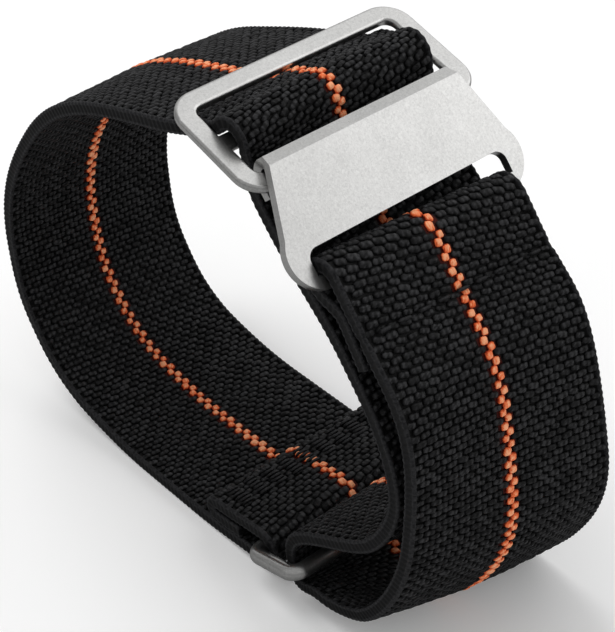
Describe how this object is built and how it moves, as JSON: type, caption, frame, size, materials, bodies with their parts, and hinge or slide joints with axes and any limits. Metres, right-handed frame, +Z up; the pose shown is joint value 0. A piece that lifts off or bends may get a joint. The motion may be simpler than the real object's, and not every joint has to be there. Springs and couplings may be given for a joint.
{
  "type": "nylon watch strap",
  "caption": "Woven elastic watch strap closed into a loop: a steel hook plate catches a slide frame, and the webbing doubles back through an adjuster ring.",
  "frame": {"origin": "middle of the footprint, on the surface that the closed loop stands on", "axes": "+X from the plain side of the loop towards the doubled side, +Y across the webbing, +Z up towards the clasp"},
  "size_m": [0.062, 0.0242, 0.0484],
  "materials": {
    "webbing": "black elastic nylon weave, matt with a soft sheen",
    "stripe": "orange nylon yarn floats",
    "thread": "black sewing thread",
    "steel": "satin stainless steel with polished edges"
  },
  "bodies": {
    "strap": {"left_run": "webbing", "left_run_stripe": "stripe", "frame_pass": "webbing", "frame_pass_stripe": "stripe", "inner_run": "webbing", "inner_run_stripe": "stripe", "bottom_turn": "webbing", "bottom_turn_stripe": "stripe", "outer_run": "webbing", "outer_run_stripe": "stripe", "ring_fold": "webbing", "ring_fold_stripe": "stripe", "ring_tab": "webbing", "ring_tab_stripe": "stripe", "ring_seam": "thread"},
    "hook": {"hook_plate": "steel", "hook_fold": "webbing", "hook_fold_stripe": "stripe", "hook_tab": "webbing", "hook_tab_stripe": "stripe", "hook_seam": "thread"},
    "frame": {"slide_frame": "steel"},
    "ring": {"adjuster_ring": "steel"}
  },
  "joints": [
    {"name": "hook_lift", "type": "hinge", "parent": "strap", "child": "hook", "pos_m": [0.01408, 0, 0.04449], "axis": [0, -1, 0], "range_deg": [0, 40]},
    {"name": "frame_tip", "type": "hinge", "parent": "strap", "child": "frame", "pos_m": [0.0093, 0, 0.04595], "axis": [0, -1, 0], "range_deg": [-3, 3]},
    {"name": "ring_swing", "type": "hinge", "parent": "strap", "child": "ring", "pos_m": [0.0095, 0, 0.003], "axis": [0, -1, 0], "range_deg": [-8, 8]}
  ]
}
